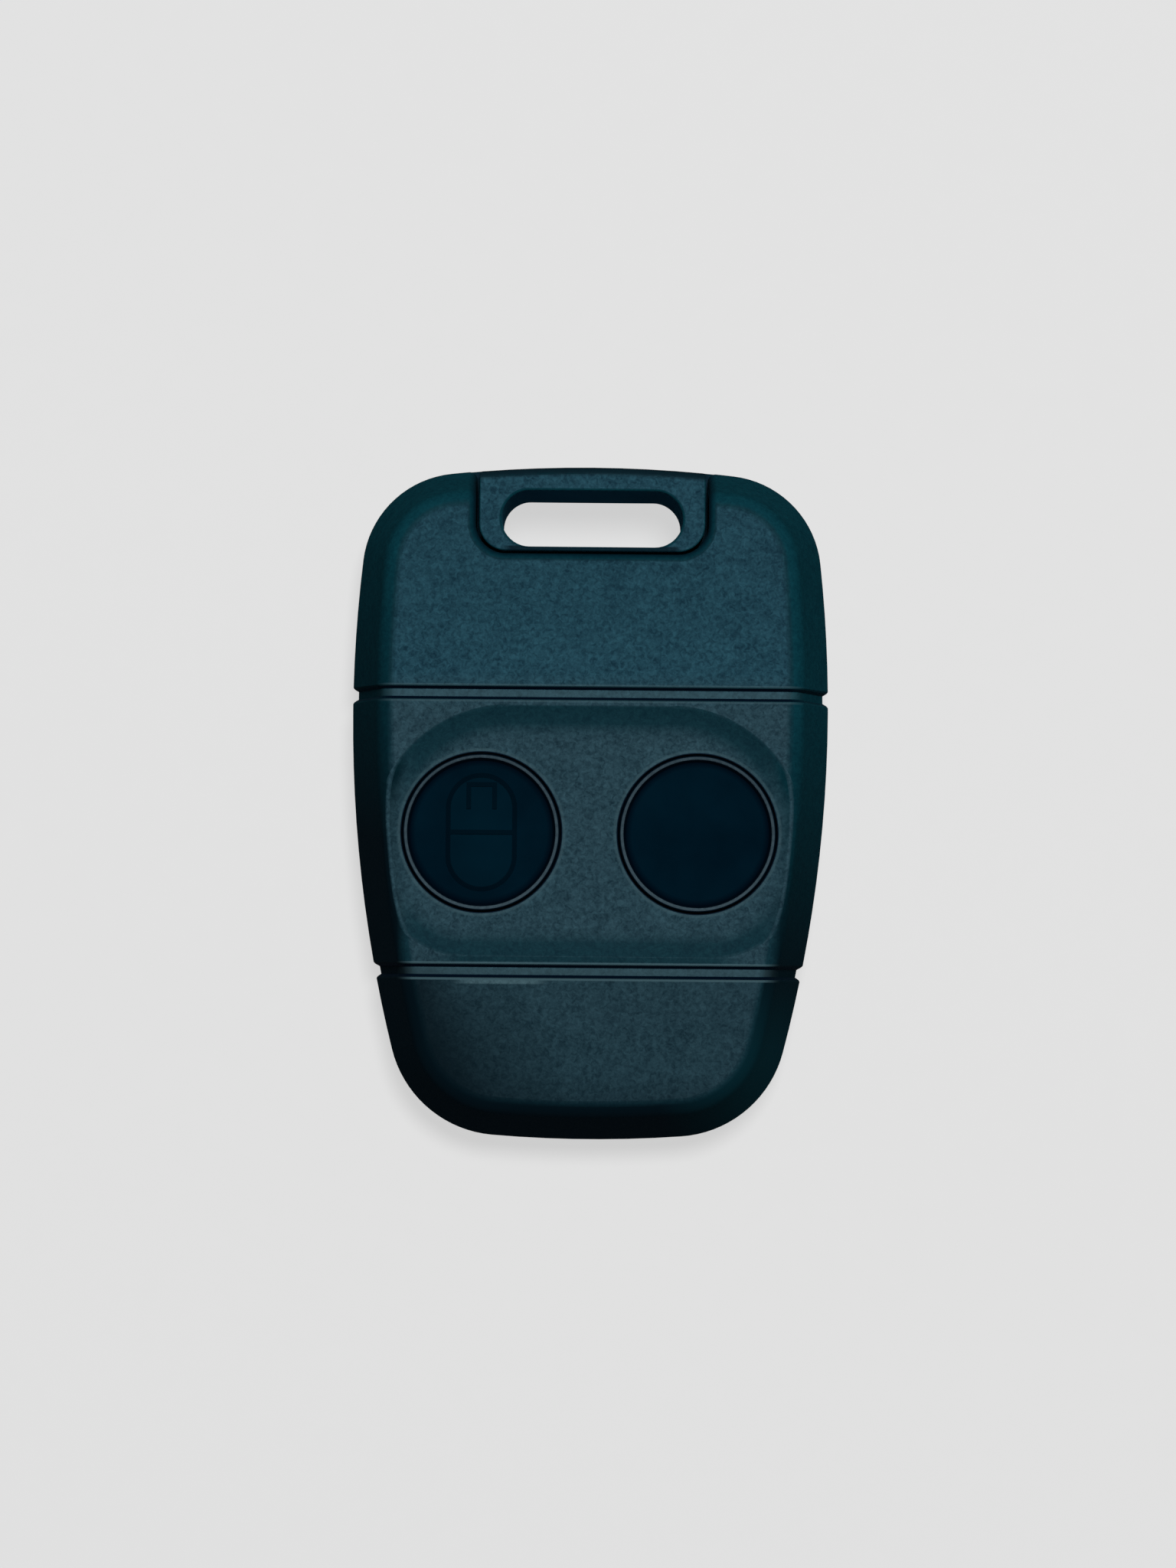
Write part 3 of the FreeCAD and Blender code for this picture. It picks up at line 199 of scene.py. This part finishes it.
class Graph:
    """A node material with a few short ways to add nodes."""

    def __init__(self, name):
        self.material = bpy.data.materials.new(name)
        self.material.use_nodes = True
        self.nodes = self.material.node_tree.nodes
        self.links = self.material.node_tree.links
        self.shader = self.nodes["Principled BSDF"]
        self.place = self.nodes.new("ShaderNodeTexCoord").outputs["Object"]

    def link(self, a, b):
        self.links.new(a, b)

    def noise(self, scale, detail=2.0, rough=0.5, distortion=0.0):
        node = self.nodes.new("ShaderNodeTexNoise")
        node.inputs["Scale"].default_value = scale
        node.inputs["Detail"].default_value = detail
        node.inputs["Roughness"].default_value = rough
        node.inputs["Distortion"].default_value = distortion
        self.link(self.place, node.inputs["Vector"])
        return node.outputs["Fac"]

    def ramp(self, value, low, high, out_low=0.0, out_high=1.0):
        node = self.nodes.new("ShaderNodeMapRange")
        node.inputs["From Min"].default_value = low
        node.inputs["From Max"].default_value = high
        node.inputs["To Min"].default_value = out_low
        node.inputs["To Max"].default_value = out_high
        self.link(value, node.inputs["Value"])
        return node.outputs["Result"]

    def spread(self, noise, out_low=0.0, out_high=1.0):
        """A noise stretched to run from out_low to out_high."""
        return self.ramp(noise, NOISE_LOW, NOISE_HIGH, out_low, out_high)

    def rise(self, value, low, high, most=1.0):
        """0 up to low, then rising to most at high; both in millimetres."""
        return self.ramp(value, low * MM, high * MM, 0.0, most)

    def fade(self, value, low, high, most=1.0):
        """most up to low, then falling to 0 at high; both in millimetres."""
        return self.ramp(value, low * MM, high * MM, most, 0.0)

    def band(self, value, middle, half, soft):
        """1 within half of the middle, falling to 0 over soft; all in millimetres."""
        return self.fade(self.absolute(self.minus(value, middle * MM)), half, half + soft)

    def math(self, how, a, b=0.0):
        node = self.nodes.new("ShaderNodeMath")
        node.operation = how
        for socket, value in zip(node.inputs, (a, b)):
            if isinstance(value, (int, float)):
                socket.default_value = value
            else:
                self.link(value, socket)
        return node.outputs["Value"]

    def plus(self, a, b):
        return self.math("ADD", a, b)

    def minus(self, a, b):
        return self.math("SUBTRACT", a, b)

    def times(self, a, b):
        return self.math("MULTIPLY", a, b)

    def larger(self, a, b):
        return self.math("MAXIMUM", a, b)

    def smaller(self, a, b):
        return self.math("MINIMUM", a, b)

    def absolute(self, a):
        return self.math("ABSOLUTE", a)

    def hypotenuse(self, a, b):
        return self.math("SQRT", self.plus(self.times(a, a), self.times(b, b)))

    def mix(self, share, a, b):
        """Colour from a to b as share goes from 0 to 1."""
        node = self.nodes.new("ShaderNodeMix")
        node.data_type = "RGBA"
        color_a, color_b = node.inputs[6], node.inputs[7]
        for socket, value in ((node.inputs["Factor"], share), (color_a, a), (color_b, b)):
            if isinstance(value, (int, float, tuple)):
                socket.default_value = value
            else:
                self.link(value, socket)
        return node.outputs[2]

    def bump(self, height, distance, strength, below=None):
        """Relief with a height given in millimetres, over any relief below it."""
        node = self.nodes.new("ShaderNodeBump")
        node.inputs["Distance"].default_value = distance * MM
        node.inputs["Strength"].default_value = strength
        self.link(height, node.inputs["Height"])
        if below is not None:
            self.link(below, node.inputs["Normal"])
        return node.outputs["Normal"]

    def axes(self):
        """X, Y and Z of the place on the part."""
        split = self.nodes.new("ShaderNodeSeparateXYZ")
        self.link(self.place, split.inputs["Vector"])
        return split.outputs["X"], split.outputs["Y"], split.outputs["Z"]

    def away(self, x, y, z):
        """Distance from a point, given in millimetres."""
        node = self.nodes.new("ShaderNodeVectorMath")
        node.operation = "DISTANCE"
        self.link(self.place, node.inputs[0])
        node.inputs[1].default_value = (x * MM, y * MM, z * MM)
        return node.outputs["Value"]

    def from_button(self, z):
        """Distance from the nearer button's middle, at a height given in millimetres."""
        return self.smaller(self.away(-BUTTON_X, BUTTON_Y, z), self.away(BUTTON_X, BUTTON_Y, z))

    def steep(self, flat, sheer):
        """0 where the surface is flatter than flat, 1 where it is steeper than sheer, both in degrees."""
        split = self.nodes.new("ShaderNodeSeparateXYZ")
        self.link(self.nodes.new("ShaderNodeNewGeometry").outputs["Normal"], split.inputs["Vector"])
        rise = self.absolute(split.outputs["Z"])
        return self.ramp(rise, math.cos(math.radians(flat)), math.cos(math.radians(sheer)))


def top_color(g, x, y, speckle):
    """The face, greyer from the lower end up to the upper groove, with painted shade on the slopes round it,
    past the lower groove, at the lower end, towards the lower left and along the left edge below the lower
    groove.
    """
    past_groove = g.fade(y, *PAST_GROOVE_Y)
    face = g.mix(g.fade(y, *LOWER_FACE_Y), g.mix(speckle, *UPPER_FACE), g.mix(speckle, *LOWER_FACE))
    # painted shade past the lower groove
    face = g.mix(g.times(past_groove, PAST_GROOVE_SHARE), face, DEEP_SHADE)

    # painted shade on the slopes, kept lighter at the dish's sides and laid on the dish's lower rim
    dish_side = g.times(g.rise(g.absolute(x), *DISH_SIDE_X), g.band(y, *DISH_SIDE_Y))
    leaning = g.math("POWER", g.steep(*LEANING), LEANING_POWER)
    leaning = g.times(leaning, g.ramp(dish_side, 0.0, 1.0, 1.0, DISH_SIDE_SHARE))
    dish_rim = g.times(g.band(y, *DISH_RIM_Y), g.band(x, *DISH_RIM_X))
    color = g.mix(g.larger(leaning, dish_rim), face, g.mix(speckle, *SLOPE_SHADE))

    # painted shade towards the lower left, at the lower end and along the left edge below the lower groove
    for share in (
        g.fade(g.away(*LOWER_LEFT), *LOWER_LEFT_FADE),
        g.fade(y, *LOWER_END_FADE),
        g.times(g.rise(g.away(*LEFT_ARC), *LEFT_EDGE_RISE), past_groove),
    ):
        color = g.mix(share, color, DEEP_SHADE)
    return color


def side_color(g, x, y, speckle):
    """The sides, in painted shade and light: deepest at the lower left, petrol towards the upper right, paler
    at the lower right.
    """
    along = g.plus(y, g.times(x, SIDE_LEAN))
    side = g.mix(g.rise(along, *SIDE_RISE), DEEP_SHADE, g.mix(speckle, *SIDE))
    # painted light at the lower right
    return g.mix(g.fade(g.away(*LOWER_RIGHT), *LOWER_RIGHT_FADE), side, SIDE[1])


def outside_lug(g, x, y):
    """Distance outside the lug's plan, whose two lower corners are round."""
    past_x = g.minus(g.absolute(x), (LUG_HALF_W - LUG_CORNER_R) * MM)
    past_y = g.minus((LUG_LOW_Y + LUG_CORNER_R) * MM, y)
    reach = g.hypotenuse(g.larger(past_x, 0.0), g.larger(past_y, 0.0))
    return g.minus(reach, LUG_CORNER_R * MM)


def paint_lug(g, color, x, y):
    """Painted shade as a dark line round the lug and on its sill and end, and painted light on the paler
    walls in its slot.
    """
    outside = outside_lug(g, x, y)
    inside = g.fade(outside, 0.0, LUG_SOFT)
    beside = g.minus(g.fade(outside, *LUG_SHADE), inside)
    color = g.mix(g.times(beside, LUG_LINE_SHARE), color, LUG_LINE_SHADE)
    sill = g.times(g.fade(y, SLOT_LOW_Y, SLOT_LOW_Y + SILL_DEPTH, LUG_DARK_SHARE), g.band(x, *SILL_X))
    color = g.mix(g.times(sill, inside), color, LUG_SILL_SHADE)
    end = g.rise(g.away(*END_ARC), *END_SHADE, LUG_DARK_SHARE)
    color = g.mix(g.times(end, inside), color, LUG_END_SHADE)
    # painted light on the walls in the slot
    in_slot = g.times(g.band(x, *SLOT_X), g.band(y, *SLOT_Y))
    return g.mix(g.times(in_slot, g.steep(*SLOT_SHEER)), color, SLOT_WALL_LIGHT)


def paint_holes(g, color):
    """A painted highlight on the lip and a painted shade line at the edge of each button's hole."""
    ring = g.from_button(DISH_FLOOR_Z)
    color = g.mix(g.times(g.band(ring, *HOLE_LIP), HOLE_LIP_SHARE), color, WEAR_AND_HIGHLIGHT)
    return g.mix(g.band(ring, *HOLE_EDGE), color, SHADE_LINE)


def paint_grooves(g, color, side, x, y):
    """Blue-black painted shade on the walls, a paler floor and painted highlights on the lips on the face,
    and the sides' painted-shade colour beyond it.
    """
    for groove_y, edge, lip_highlight in zip(GROOVE_YS, GROOVE_EDGES, GROOVE_LIPS):
        off = g.absolute(g.minus(y, groove_y * MM))
        on_side = g.rise(g.absolute(x), *(edge + turn for turn in GROOVE_TURN))
        on_face = g.minus(1.0, on_side)
        color = g.mix(g.times(g.band(off, *GROOVE_REACH), on_side), color, side)
        floor = g.times(g.band(off, *GROOVE_FLOOR), g.times(on_face, GROOVE_FLOOR_SHARE))
        color = g.mix(floor, color, WEAR_AND_HIGHLIGHT)
        # painted shade on the grooves' walls and painted highlights on their lips
        wall = g.times(g.band(off, *GROOVE_WALL), g.ramp(on_side, 0.0, 1.0, 1.0, GROOVE_SIDE_SHARE))
        color = g.mix(wall, color, SHADE_LINE)
        lip = g.times(g.band(off, *GROOVE_LIP), g.times(on_face, lip_highlight))
        color = g.mix(lip, color, WEAR_AND_HIGHLIGHT)
    return color


def casing_plastic(name):
    """Petrol plastic with spark-eroded grain, greyer on the face below the upper groove, with painted shade
    on slopes and sides.
    """
    g = Graph(name)
    x, y, _ = g.axes()
    grain = g.noise(GRAIN_SCALE)
    blobs = g.noise(BLOB_SCALE, detail=3.0, rough=0.62, distortion=0.8)
    patches = g.noise(PATCH_SCALE, distortion=0.5)
    speckle = g.plus(g.ramp(blobs, *BLOB_SPAN, 0.0, BLOB_SHARE), g.spread(patches, 0.0, PATCH_SHARE))
    speckle = g.plus(speckle, g.spread(grain, 0.0, GRAIN_SHARE))

    side = side_color(g, x, y, speckle)
    in_dish = g.times(g.band(y, *DISH_Y), g.band(x, *DISH_X))
    edges = g.times(g.steep(*EDGE), g.minus(1.0, in_dish))
    # painted shade on steep sides and on edges outside the dish
    color = g.mix(g.larger(g.steep(*SHEER), edges), top_color(g, x, y, speckle), side)
    color = paint_lug(g, color, x, y)
    color = paint_holes(g, color)
    color = paint_grooves(g, color, side, x, y)
    scuff = g.times(g.band(y, *SCUFF_Y), g.band(x, *SCUFF_X))
    color = g.mix(g.times(scuff, g.ramp(blobs, *SCUFF_SPAN, *SCUFF_SPREAD)), color, WEAR_AND_HIGHLIGHT)
    g.link(color, g.shader.inputs["Base Color"])

    rough = g.plus(g.ramp(g.steep(*MATT), 0.0, 1.0, *CASING_ROUGH), g.spread(grain, *GRAIN_ROUGH))
    g.link(rough, g.shader.inputs["Roughness"])
    relief = g.bump(blobs, *BLOB_RELIEF)
    g.link(g.bump(grain, *GRAIN_RELIEF, relief), g.shader.inputs["Normal"])
    g.shader.inputs["Specular IOR Level"].default_value = CASING_GLOSS
    return g.material


def sign_lines(g, x, y):
    """1 on the lines of the left button's sign and 1 inside its capsule, as two values."""
    across = g.absolute(g.plus(x, BUTTON_X * MM))
    up = g.minus(y, BUTTON_Y * MM)
    past = g.larger(g.minus(g.absolute(up), (SIGN_H - SIGN_W) / 2 * MM), 0.0)
    reach = g.hypotenuse(across, past)
    half = SIGN_LINE / 2
    inner = SIGN_W / 2 - SIGN_LINE
    inside = g.fade(reach, inner, inner + SIGN_SOFT)
    capsule = g.band(reach, inner + half, half, SIGN_SOFT)
    bar = g.times(g.band(up, 0.0, half, SIGN_SOFT), inside)
    shackle_y = ((SHACKLE_TOP + SHACKLE_LOW) / 2, (SHACKLE_TOP - SHACKLE_LOW) / 2, SIGN_SOFT)
    legs = g.times(g.band(across, SHACKLE_W / 2 - half, half, SIGN_SOFT), g.band(up, *shackle_y))
    head = g.times(g.band(across, 0.0, SHACKLE_W / 2, SIGN_SOFT),
                   g.band(up, SHACKLE_TOP - half, half, SIGN_SOFT))
    return g.larger(g.larger(capsule, bar), g.larger(legs, head)), inside


def button_rubber(name):
    """Blue-black rubber with a greyed crest ring, painted shade on both sides of it, on its steep walls and
    along the sign's lines, and a faint smear of skin oil.
    """
    g = Graph(name)
    x, y, z = g.axes()
    fine = g.noise(CAP_GRAIN_SCALE)
    smear = g.noise(SMEAR_SCALE, detail=3.0)
    color = g.mix(g.spread(smear), *CAP)
    lines, inside = sign_lines(g, x, y)
    color = g.mix(g.times(inside, SIGN_FIELD_SHARE), color, SIGN_FIELD)
    # painted shade along the sign's lines
    color = g.mix(g.times(lines, SIGN_SHADE_SHARE), color, SIGN_SHADE)
    radius = g.from_button(CREST_Z)
    # painted shade on the button's edge and steep walls
    color = g.mix(g.rise(radius, *CAP_EDGE_RISE), color, CAP_EDGE_SHADE)
    color = g.mix(g.steep(*CAP_SHEER), color, CAP_WALL_SHADE)
    crest = g.times(g.band(radius, *CREST_BAND), g.rise(z, *CREST_TOP))
    crest = g.times(crest, g.spread(fine, *CREST_WORN_SPREAD))
    crest = g.times(crest, g.minus(1.0, g.rise(y, *CREST_WORN_Y, 1 - CREST_LEAST_WORN)))
    color = g.mix(crest, color, CREST)
    g.link(color, g.shader.inputs["Base Color"])
    g.link(g.spread(smear, *CAP_ROUGH), g.shader.inputs["Roughness"])
    g.link(g.bump(fine, *CAP_RELIEF), g.shader.inputs["Normal"])
    g.shader.inputs["Specular IOR Level"].default_value = CAP_GLOSS
    return g.material


def plain(name, color, rough, metal):
    """A small part's material: colour and roughness that vary a little, and a fine relief."""
    g = Graph(name)
    fine = g.noise(PLAIN_GRAIN_SCALE, detail=3.0)
    cloud = g.noise(PLAIN_CLOUD_SCALE)
    dark = tuple(c * PLAIN_DARK for c in color[:3]) + (1.0,)
    g.link(g.mix(g.spread(cloud), dark, color), g.shader.inputs["Base Color"])
    roughness = g.spread(fine, rough * (1 - PLAIN_ROUGH_SPREAD), rough * (1 + PLAIN_ROUGH_SPREAD))
    g.link(roughness, g.shader.inputs["Roughness"])
    g.link(g.bump(fine, *PLAIN_RELIEF), g.shader.inputs["Normal"])
    g.shader.inputs["Metallic"].default_value = metal
    return g.material


PLAIN = {                             # sRGB colour, roughness and metallic of each small part's material
    "keypad_rubber": ((62, 66, 68), 0.6, 0.0),
    "seal_rubber": ((30, 31, 32), 0.7, 0.0),
    "board_laminate": ((28, 92, 62), 0.35, 0.0),
    "copper_track": ((200, 130, 90), 0.3, 1.0),
    "cell_steel": ((190, 190, 186), 0.28, 1.0),
    "cell_nylon": ((40, 40, 42), 0.5, 0.0),
    "contact_spring": ((196, 188, 166), 0.25, 1.0),
    "switch_plastic": ((30, 30, 32), 0.5, 0.0),
    "plunger_plastic": ((120, 44, 32), 0.45, 0.0),
    "switch_steel": ((186, 186, 182), 0.25, 1.0),
    "tinned_legs": ((200, 200, 196), 0.35, 1.0),
    "chip_plastic": ((34, 34, 36), 0.55, 0.0),
    "can_metal": ((206, 198, 176), 0.22, 1.0),
    "capacitor_resin": ((206, 152, 52), 0.4, 0.0),
    "capacitor_ceramic": ((176, 142, 104), 0.45, 0.0),
    "resistor_ceramic": ((34, 34, 34), 0.4, 0.0),
}

materials = {name: plain(name, linear(*color), rough, metal) for name, (color, rough, metal) in PLAIN.items()}
materials["casing_plastic"] = casing_plastic("casing_plastic")
materials["button_rubber"] = button_rubber("button_rubber")

for part in frame["record"]["subparts"]:
    for slot in frame["nodes"][part["node"]].material_slots:
        slot.material = materials[part["material_slot"]]


# Stage, lights and camera

PAPER = (linear(226, 226, 226), linear(227, 227, 227))
PAPER_LIT = linear(60, 60, 60)        # what the floor throws back on the object
BLACK = (0, 0, 0, 1)
FLOOR_HALF = 3.0
FLOOR_DROP = 0.05                     # millimetres below the part's flat back
SHADOW = 0.2                          # how much of the object's shadow the floor shows
WORLD_FILL = 0.01
KEY_AT = (0.09, 0.25, 0.96)
KEY_SIZE = 0.3
KEY_POWER = 9.8
CAMERA_AIM = (0, 0, 5.8 * MM)
CAMERA_REACH = 0.400
CAMERA_TILT = math.radians(2.4)
CAMERA_ROLL = math.radians(0.53)
LENS = 104.6
SENSOR_W = 36.0
CLIP_START = 0.01
PIXELS_PER_MM = 14.87
SHIFT_UP_PX = 24.0
SHIFT_LEFT_PX = 2.2


def seen_ray(nodes, links):
    """1 for camera, glossy and transmission rays, 0 for the rays that light the object."""
    path = nodes.new("ShaderNodeLightPath").outputs
    found = path["Is Camera Ray"]
    for name in ("Is Glossy Ray", "Is Transmission Ray"):
        either = nodes.new("ShaderNodeMath")
        either.operation = "MAXIMUM"
        links.new(found, either.inputs[0])
        links.new(path[name], either.inputs[1])
        found = either.outputs["Value"]
    return found


def add_object(name, data):
    obj = bpy.data.objects.new(name, data)
    bpy.context.scene.collection.objects.link(obj)
    return obj


def make_floor():
    """Pale paper, part lit by itself so that it stays pale, part by the lamp so that it shows a shadow."""
    mesh = bpy.data.meshes.new("floor")
    corners = [(FLOOR_HALF * x, FLOOR_HALF * y, 0) for x, y in ((-1, -1), (1, -1), (1, 1), (-1, 1))]
    mesh.from_pydata(corners, [], [(0, 1, 2, 3)])
    floor = add_object("floor", mesh)
    floor.location.z = -FLOOR_DROP * MM
    g = Graph("floor_paper")
    paper = g.mix(g.noise(PAPER_SCALE), *PAPER)
    seen = seen_ray(g.nodes, g.links)
    g.link(g.mix(seen, PAPER_LIT, g.mix(SHADOW, BLACK, paper)), g.shader.inputs["Base Color"])
    g.link(paper, g.shader.inputs["Emission Color"])
    g.link(g.times(seen, 1 - SHADOW), g.shader.inputs["Emission Strength"])
    g.shader.inputs["Roughness"].default_value = 1.0
    g.shader.inputs["Specular IOR Level"].default_value = 0.0
    mesh.materials.append(g.material)


def make_key():
    data = bpy.data.lights.new("key", "AREA")
    data.shape = "DISK"
    data.size = KEY_SIZE
    data.energy = KEY_POWER
    lamp = add_object("key", data)
    lamp.location = KEY_AT
    lamp.rotation_euler = (-Vector(KEY_AT)).to_track_quat("-Z", "Y").to_euler()


def make_world():
    """The same pale grey where it is seen, and a faint fill light otherwise."""
    world = bpy.data.worlds.new("world")
    world.use_nodes = True
    nodes, links = world.node_tree.nodes, world.node_tree.links
    strength = nodes.new("ShaderNodeMapRange")
    strength.inputs["To Min"].default_value = WORLD_FILL
    links.new(seen_ray(nodes, links), strength.inputs["Value"])
    links.new(strength.outputs["Result"], nodes["Background"].inputs["Strength"])
    nodes["Background"].inputs["Color"].default_value = PAPER[1]
    bpy.context.scene.world = world


def make_camera():
    """A long lens nearly square over the face, tilted and rolled a little as in the photograph."""
    data = bpy.data.cameras.new("camera")
    data.lens = LENS
    data.sensor_width = SENSOR_W
    data.clip_start = CLIP_START
    camera = add_object("camera", data)
    back = Vector((0, -math.sin(CAMERA_TILT), math.cos(CAMERA_TILT)))
    turn = (-back).to_track_quat("-Z", "Y").to_matrix().to_4x4()
    turn = turn @ Matrix.Rotation(CAMERA_ROLL, 4, "Z")
    shift = turn @ (Vector((-SHIFT_LEFT_PX, SHIFT_UP_PX, 0)) / PIXELS_PER_MM * MM)
    camera.matrix_world = Matrix.Translation(Vector(CAMERA_AIM) + back * CAMERA_REACH + shift) @ turn
    bpy.context.scene.camera = camera


make_floor()
make_key()
make_world()
make_camera()
bpy.context.scene.view_settings.view_transform = "Standard"
